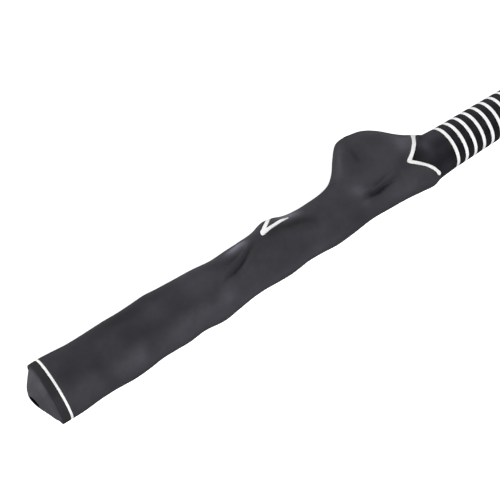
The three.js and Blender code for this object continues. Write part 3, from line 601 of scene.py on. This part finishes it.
# ------------------------------------------------------------------ grip body
def build_grip(cols=240):
    rows = []            # (g, drop below the skin)
    for k in range(6):   # rounded rim at the butt
        t = k / 5
        rows.append((0.5 * (1 - math.cos(t * math.pi / 2)) if k else 0.0, 0.5 * (1 - math.sin(t * math.pi / 2))))
    a, b = BUTT_RING_G - BUTT_RING_WIDTH / 2, BUTT_RING_G + BUTT_RING_WIDTH / 2

    def ring_rows(a, b):
        return [(a - 0.32, 0), (a - 0.16, 0.02), (a - 0.04, 0.12), (a, 0.36), (b, 0.36), (b + 0.04, 0.12), (b + 0.16, 0.02), (b + 0.32, 0)]

    rows += [(1.0, 0), (1.8, 0), (2.7, 0)] + ring_rows(a, b)
    g = 5.9
    while g < 205.9:
        rows.append((g, 0))
        if 108 < g < 137:
            g += 0.42
        elif 181 < g < 205:
            g += 0.38
        elif 80 < g < 112 or 150 < g < 182:
            g += 0.6
        else:
            g += 0.85
    rows += [(206.4, 0), (207.4, 0)]
    for i in range(RING_COUNT):
        c = RING_FIRST + i * RING_PITCH
        rows += ring_rows(c - RING_WIDTH / 2, c + RING_WIDTH / 2)
        rows += [(c + RING_PITCH / 2, 0)]
    rows += [(263.6, 0), (265.2, 0), (266.2, 0)]
    for k in range(6):
        t = k / 5
        rows.append((GRIP_LENGTH - 0.45 + 0.45 * math.sin(t * math.pi / 2), 0.45 * (1 - math.cos(t * math.pi / 2))))
    psi = np.arange(cols) * (2 * math.pi / cols)
    G = np.array([r[0] for r in rows])[:, None] + np.zeros(cols)[None, :]
    D = np.array([r[1] for r in rows])[:, None]
    w = np.where(G <= EDGE_MEAN, np.clip((G - 150) / (EDGE_MEAN - 150), 0, 1), np.clip((206.2 - G) / (206.2 - EDGE_MEAN), 0, 1))
    w = w * w * (3 - 2 * w)
    GG = G + (edge(psi)[None, :, 1] - EDGE_MEAN) * w
    # columns crowd toward the hook where it stands out
    near = np.sin(math.pi * np.clip((G - 135) / 69, 0, 1))
    PS = psi[None, :] + np.zeros_like(G)
    PS = PS - 0.45 * near * np.sin(PS - math.pi / 2)
    GG = G + (edge(PS)[..., 1] - EDGE_MEAN) * w
    Rr = skin_radius(GG, PS) - D - groove(GG, PS)
    P = world(GG, PS, Rr).reshape(-1, 3)
    n = len(rows)
    inner = [(BORE_R + 0.35, GRIP_LENGTH), (BORE_R, GRIP_LENGTH - 0.35), (BORE_R, 262.0), (BORE_R, 4.0), (BORE_R, 3.1), (CAP_R - 0.2, 3.1),
             (CAP_R + 0.06, 2.9), (CAP_R + 0.06, 0.3), (CAP_R + 0.2, 0.0)]
    Pi = np.concatenate([world(g, psi, r) for r, g in inner])
    verts = np.concatenate([P, Pi])
    faces = grid_faces(n + len(inner), cols, True)
    ob = make_object("grip_skin", verts, faces, 42)
    # tone attribute: partly real wear, partly painted shade in the creases and painted highlights on ridges, facets and
    # one side of the taper
    wear_and_painted_light = ob.data.attributes.new("wear_and_painted_light", "FLOAT", "POINT")
    tone = np.ones(len(verts))
    band = 0.5 + 0.5 * np.clip((GG - 3.6) / 0.3, -1, 1)         # the rim round the end cap stays darker
    tone[: n * cols] = np.exp(np.clip(1.6 * skin_features(GG, PS, 1) - 0.55 * (1 - band), -1.3, 1.6)).ravel()
    wear_and_painted_light.data.foreach_set("value", tone.astype(np.float32))
    # the taper in front of the white line is moulded smoother than the hand sections, and its darker colour is painted
    # shade for the dark reflections of that smoother skin
    ob.data.materials.append(M["grip"])
    ob.data.materials.append(M["taper"])
    first = next(i for i, r in enumerate(rows) if r[0] > EDGE_MEAN)
    for p in ob.data.polygons:
        p.material_index = 1 if first <= p.index // cols < n + 2 else 0
    return ob


def ribbon(name, mark, n=10):
    """Painted mark: a thin crowned strip between its two edges, let into the groove."""
    outer, inner = mark_edges(mark)
    m = len(outer) - 1
    cross = np.linspace(0, 1, n + 1)
    rings = []
    for k in range(m + 1):
        q = outer[k][None, :] * (1 - cross[:, None]) + inner[k][None, :] * cross[:, None]
        g, psi = q[:, 0], q[:, 1] / SKIN_R
        skin = skin_radius(g, psi)
        top = skin - 0.02 - 0.10 * np.abs(2 * cross - 1) ** 4
        rings.append(np.concatenate([world(g, psi, top), world(g, psi, skin - 0.42)[::-1]]))
    V = np.concatenate(rings)
    c = 2 * (n + 1)
    faces = []
    for k in range(m):
        for j in range(c):
            i = (j + 1) % c
            faces.append((k * c + j, k * c + i, (k + 1) * c + i, (k + 1) * c + j))
    faces.append(tuple(range(c)))
    faces.append(tuple(m * c + j for j in reversed(range(c))))
    return make_object(name, V, faces, 50)


root = "root"
grip = build_grip()
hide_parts("grip_body")
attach(grip, root)

for name, track, node in (("upper_v_paint", UPPER_V, "upper_v_line"), ("lower_v_paint", LOWER_V, "lower_v_line")):
    ob = dress(ribbon(name, track), "line")
    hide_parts(node)
    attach(ob, root)


def ring_paint(name, node, a, b, ra, rb):
    prof = rounded([(ra - 0.40, a + 0.02), (ra - 0.05, a + 0.02, 0.12), (rb - 0.05, b - 0.02, 0.12), (rb - 0.40, b - 0.02)], 4)
    mid = (prof[len(prof) // 2 - 1], prof[len(prof) // 2])
    ob = dress(turned(name, prof, 160, closed=True, angle=50), "line")
    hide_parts(node)
    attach(ob, root)
    return ob


a, b = BUTT_RING_G - BUTT_RING_WIDTH / 2, BUTT_RING_G + BUTT_RING_WIDTH / 2
ring_paint("butt_ring_paint", "butt_ring_line", a, b, 14.22, 14.22)
for i in range(RING_COUNT):
    c = RING_FIRST + i * RING_PITCH
    a, b = c - RING_WIDTH / 2, c + RING_WIDTH / 2
    ring_paint("taper_ring_paint_%02d" % (i + 1), "taper_ring_%02d" % (i + 1), a, b, float(taper(a)), float(taper(b)))


# ------------------------------------------------------------------ end cap
VENT_R = 3.0


def build_cap(cols=192):
    """Bell-shaped butt cap: low on one side, its crown cut on a slant with the vent hole through it."""
    radii = [12.86, 12.6, 12.2, 11.7, 11.2, 10.6, 10.0, 9.3, 8.6, 8.1, 7.6, 7.0, 6.4, 5.8, 5.2, 4.6, 4.1, 3.75, 3.5, 3.3, 3.15, VENT_R + 0.02]
    tall = np.array([(2.8, 5.82), (3.1, 5.9), (4, 5.76), (5, 5.42), (6.5, 4.85), (7.7, 4.1), (8.6, 3.38), (10, 2.3), (11.3, 1.25), (12.2, 0.5), (12.86, 0.06)])
    low = np.array([(2.8, 4.42), (3.1, 4.48), (4, 4.15), (5.5, 3.5), (7.3, 2.65), (9.5, 1.8), (11.2, 1.12), (12.2, 0.5), (12.86, 0.06)])
    psi = np.arange(cols) * (2 * math.pi / cols)
    side = 0.5 + 0.5 * np.cos(psi - math.radians(117))       # 1 on the tall side
    rings = []
    for r in radii:
        u, l = (float(smooth_rows(t, np.array([r]))[0, 0]) for t in (tall, low))
        lip = 0.09 * max(0.0, (3.3 - r) / 0.3) ** 2
        rings.append(world(-(l + (u - l) * side) + lip, psi, r))
    crown = 4.44 + 1.42 * side
    for r, drop in ((VENT_R - 0.03, 0.3), (VENT_R, 0.55), (VENT_R + 0.35, 0.8), (4.4, 1.0), (4.6, 1.4)):
        rings.append(world(-(crown - drop), psi, r))
    for r, g in [(4.6, 1.6), (4.3, 2.0), (2.6, 2.1), (2.45, 2.3), (2.45, 3.0), (CAP_R - 0.3, 3.0), (CAP_R, 2.7), (CAP_R, 0.3)]:
        rings.append(world(g, psi, r))
    V = np.concatenate(rings)
    ob = make_object("butt_cap", V, grid_faces(len(rings), cols, True), 45)
    ob.data.materials.append(M["cap"])
    ob.data.materials.append(M["vent"])
    for p in ob.data.polygons:
        p.material_index = 1 if len(radii) <= p.index // cols < len(radii) + 9 else 0
    return ob


cap = build_cap()
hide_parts("grip_end_cap")
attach(cap, root)

# ------------------------------------------------------------------ shaft and head
steps = [(300, 7.62), (344, 7.35), (388, 7.1), (432, 6.8), (476, 6.5), (514, 6.25)]
prof = [(7.62 - 0.75, 3.2), (7.62 - 0.2, 3.2), (7.62, 3.4)]
radii = [s[1] for s in steps] + [6.0]
for (g, r), nxt in zip(steps, radii[1:]):
    prof += [(r, g, 1.0), (nxt, g + 1.4, 1.0)]
prof += [(6.0, 574.3), (5.8, 574.5), (5.25, 574.5), (5.25, 520), (6.05, 432), (6.87, 300)]
ob = dress(turned("shaft_tube", rounded(prof, 4), 128, closed=True), "chrome")
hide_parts("shaft")
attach(ob, root)

prof = rounded([(6.05, 532.3), (8.3, 532.0, 0.3), (9.0, 532.7, 0.6), (9.6, 538, 8.0), (13.2, 546, 3.0), (14.15, 547.6, 1.4), (14.15, 610.9, 0.4), (13.0, 612.0, 0.4),
                (5.5, 612.0, 0.3), (5.5, 600), (2.75, 600), (2.75, 575), (6.05, 575)], 6)
ob = dress(turned("weight_body", prof, 160, closed=True, angle=30), "weight")
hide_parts("head_weight")
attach(ob, root)

prof = rounded([(6.3, 518.0), (6.85, 518.0, 0.2), (7.2, 519.0, 0.4), (7.5, 524.4, 0.3), (7.3, 524.9, 0.1), (7.3, 525.9, 0.1), (7.6, 526.3, 0.3), (8.3, 531.9, 0.2),
                (6.3, 531.9)], 5)
ob = dress(turned("ferrule_ring", prof, 128, closed=True, angle=40), "ferrule")
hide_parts("ferrule")
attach(ob, root)

prof = rounded([(0, 608.2), (5.0, 608.2, 0.4), (5.4, 609.0, 0.3), (5.4, 612.1, 0.1), (12.8, 612.1, 0.1), (13.25, 612.6, 0.4), (13.25, 617.2, 1.2), (12.25, 619.8, 0.8), (11.4, 620.0, 0.4),
                (0, 620.0)], 5)
ob = dress(turned("bumper_cap", prof, 128, angle=40), "bumper")
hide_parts("end_bumper")
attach(ob, root)

for node, key in (("grip_tape", "tape"), ("tip_insert", "insert"), ("head_screw", "screw"), ("head_washer", "washer"), ("lock_washer", "washer")):
    o = frame["nodes"][node]
    for s in o.material_slots:
        s.material = M[key]

# ------------------------------------------------------------------ floor, light, camera
FLOOR_Z = CAD_BOX[0][2] - 0.0003


def stage_material():
    mat = bpy.data.materials.new("stage_white")
    mat.use_nodes = True
    nt = mat.node_tree
    nt.nodes.clear()
    out = nt.nodes.new("ShaderNodeOutputMaterial")
    add = nt.nodes.new("ShaderNodeAddShader")
    dif = nt.nodes.new("ShaderNodeBsdfDiffuse")
    emi = nt.nodes.new("ShaderNodeEmission")
    n = nt.nodes.new("ShaderNodeTexNoise")
    n.inputs["Scale"].default_value = 3.0
    nt.links.new(ramp(nt, n.outputs["Fac"], [(0.3, (0.86, 0.86, 0.86)), (0.7, (0.88, 0.88, 0.88))]), dif.inputs["Color"])
    emi.inputs["Strength"].default_value = 0.96
    emi.inputs["Color"].default_value = (1, 1, 1, 1)
    nt.links.new(dif.outputs[0], add.inputs[0])
    nt.links.new(emi.outputs[0], add.inputs[1])
    nt.links.new(add.outputs[0], out.inputs[0])
    return mat


mesh = bpy.data.meshes.new("floor")
s = 4.0
mesh.from_pydata([(-s, -s, FLOOR_Z), (s, -s, FLOOR_Z), (s, s, FLOOR_Z), (-s, s, FLOOR_Z)], [], [(0, 1, 2, 3)])
floor = bpy.data.objects.new("floor", mesh)
bpy.context.scene.collection.objects.link(floor)
floor.data.materials.append(stage_material())

# a plain white surround behind everything, well outside the lights
bm_verts, bm_faces = [], []
NU, NV, DOME_R = 48, 24, 9.0
for iv in range(NV + 1):
    th = math.pi * iv / NV
    for iu in range(NU):
        ph = 2 * math.pi * iu / NU
        bm_verts.append((DOME_R * math.sin(th) * math.cos(ph), DOME_R * math.sin(th) * math.sin(ph), DOME_R * math.cos(th)))
for iv in range(NV):
    for iu in range(NU):
        k = (iu + 1) % NU
        bm_faces.append((iv * NU + iu, (iv + 1) * NU + iu, (iv + 1) * NU + k, iv * NU + k))
mesh = bpy.data.meshes.new("backdrop")
mesh.from_pydata(bm_verts, [], bm_faces)
backdrop = bpy.data.objects.new("backdrop", mesh)
bpy.context.scene.collection.objects.link(backdrop)
backdrop.data.materials.append(floor.data.materials[0])
# flags keep the white of the stage off the rubber: the soft lights alone light the object
for o in (floor, backdrop):
    o.visible_diffuse = False
    o.visible_glossy = False
    o.visible_shadow = False

A = np.array([-1.0, 0.0, 0.0])                                   # toward the head
H = np.array([0.0, -math.cos(ROLL), -math.sin(ROLL)])            # toward the hook
V = np.array([0.0, -math.sin(ROLL), math.cos(ROLL)])             # the side that faces the camera
right = 0.81808 * A - 0.52296 * H + 0.23927 * V
up = 0.50194 * A + 0.85235 * H + 0.14680 * V
back = -0.28071 * A + 0.0 * H + 0.95979 * V
P1 = np.array([-80.4308, -56.9240, -558.5928]) / 1000.0          # butt line centre, seen from the camera
axis_point = np.array([(LENGTH - BUTT_RING_G) / 1000.0, 0.0, 0.0])
cam_pos = axis_point - (P1[0] * right + P1[1] * up + P1[2] * back)
nudge = 0.5 / 1364.0                                             # half a pixel, as a turn of the camera
right, up, back = right - nudge * back, up + nudge * back, back + nudge * (right - up)
cam_data = bpy.data.cameras.new("camera")
cam_data.lens = 1364.0 * 36.0 / 500.0
cam_data.sensor_width = 36.0
cam_data.clip_start = 0.01
cam_data.clip_end = 50.0
cam = bpy.data.objects.new("camera", cam_data)
bpy.context.scene.collection.objects.link(cam)
cam.matrix_world = Matrix([
    [right[0], up[0], back[0], cam_pos[0]],
    [right[1], up[1], back[1], cam_pos[1]],
    [right[2], up[2], back[2], cam_pos[2]],
    [0, 0, 0, 1],
])
bpy.context.scene.camera = cam


def area_light(name, offset, size, power, target):
    """Soft light placed relative to a target by the picture's own right, up and toward directions."""
    t = np.array(target)
    p = t + offset[0] * right + offset[1] * up + offset[2] * back
    data = bpy.data.lights.new(name, "AREA")
    data.shape = "RECTANGLE"
    data.size, data.size_y = size
    data.energy = power
    ob = bpy.data.objects.new(name, data)
    bpy.context.scene.collection.objects.link(ob)
    d = Vector((t - p).tolist())
    ob.rotation_euler = d.to_track_quat("-Z", "Y").to_euler()
    ob.location = Vector(p.tolist())
    return ob


def softbox(name, along, psi, size, power, distance=1.2):
    """Soft light in the direction psi round the stick, leaning by an angle toward the head."""
    c, t = math.radians(psi), math.radians(along)
    d = math.cos(t) * (math.cos(c) * V + math.sin(c) * H) + math.sin(t) * A
    p = np.array([0.49, 0.0, 0.0]) + distance * d
    data = bpy.data.lights.new(name, "AREA")
    data.shape = "RECTANGLE"
    data.size, data.size_y = size
    data.energy = power
    ob = bpy.data.objects.new(name, data)
    bpy.context.scene.collection.objects.link(ob)
    z, x = Vector(d.tolist()), Vector(A.tolist())
    y = z.cross(x).normalized()
    x = y.cross(z).normalized()
    ob.matrix_world = Matrix([[x[0], y[0], z[0], p[0]], [x[1], y[1], z[1], p[1]], [x[2], y[2], z[2], p[2]], [0, 0, 0, 1]])
    return ob


for k, (along, psi, power) in enumerate([(-20, -30, 5.0), (-20, -60, 4.4), (-50, -60, 3.0), (20, -90, 0.9), (50, 0, 5.2),
                                          (20, 0, 1.0), (50, 30, 1.0), (50, 90, 3.6), (-50, 90, 16.0)]):
    softbox("softbox_%d" % (k + 1), along, psi, (0.45, 0.45), power)
for o in bpy.context.scene.objects:
    if o.type == "LIGHT":
        o.visible_camera = False

world_data = bpy.data.worlds.new("studio")
bpy.context.scene.world = world_data
world_data.use_nodes = True
bg = world_data.node_tree.nodes["Background"]
bg.inputs["Color"].default_value = (1, 1, 1, 1)
bg.inputs["Strength"].default_value = 0.14

sc = bpy.context.scene
sc.view_settings.view_transform = "Standard"
sc.view_settings.look = "None"
sc.view_settings.exposure = 0.0
sc.view_settings.gamma = 1.0
